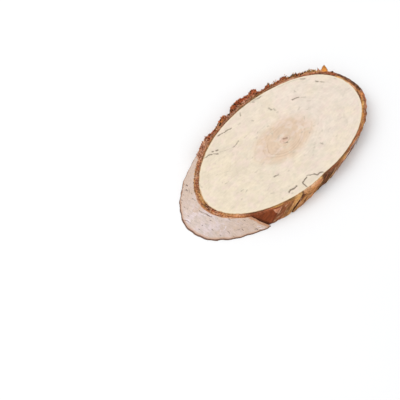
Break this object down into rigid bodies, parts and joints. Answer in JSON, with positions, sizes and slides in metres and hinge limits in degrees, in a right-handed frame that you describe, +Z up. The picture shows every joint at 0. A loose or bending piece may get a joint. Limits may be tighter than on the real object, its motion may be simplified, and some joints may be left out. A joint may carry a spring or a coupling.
{
  "type": "birch wood slice",
  "caption": "Oval slice of birch branch sawn on a slant, with pale wood faces, red-brown inner bark torn into shreds and white paper bark round one end.",
  "frame": {"origin": "centre of the lower sawn face, on the line of the pith", "axes": "+X along the slice's long axis, towards the end where the upper face overhangs the lower one; +Y across it, towards the rim with the torn shreds; +Z up, square to the sawn faces"},
  "size_m": [0.1538, 0.0803, 0.0105],
  "materials": {
    "wood": "raw sawn",
    "inner_bark": "raw, torn and fibrous",
    "paper_bark": "papery, chalky white"
  },
  "bodies": {
    "root": {"wood": "wood", "inner_bark": "inner_bark", "paper_bark": "paper_bark"}
  },
  "joints": []
}
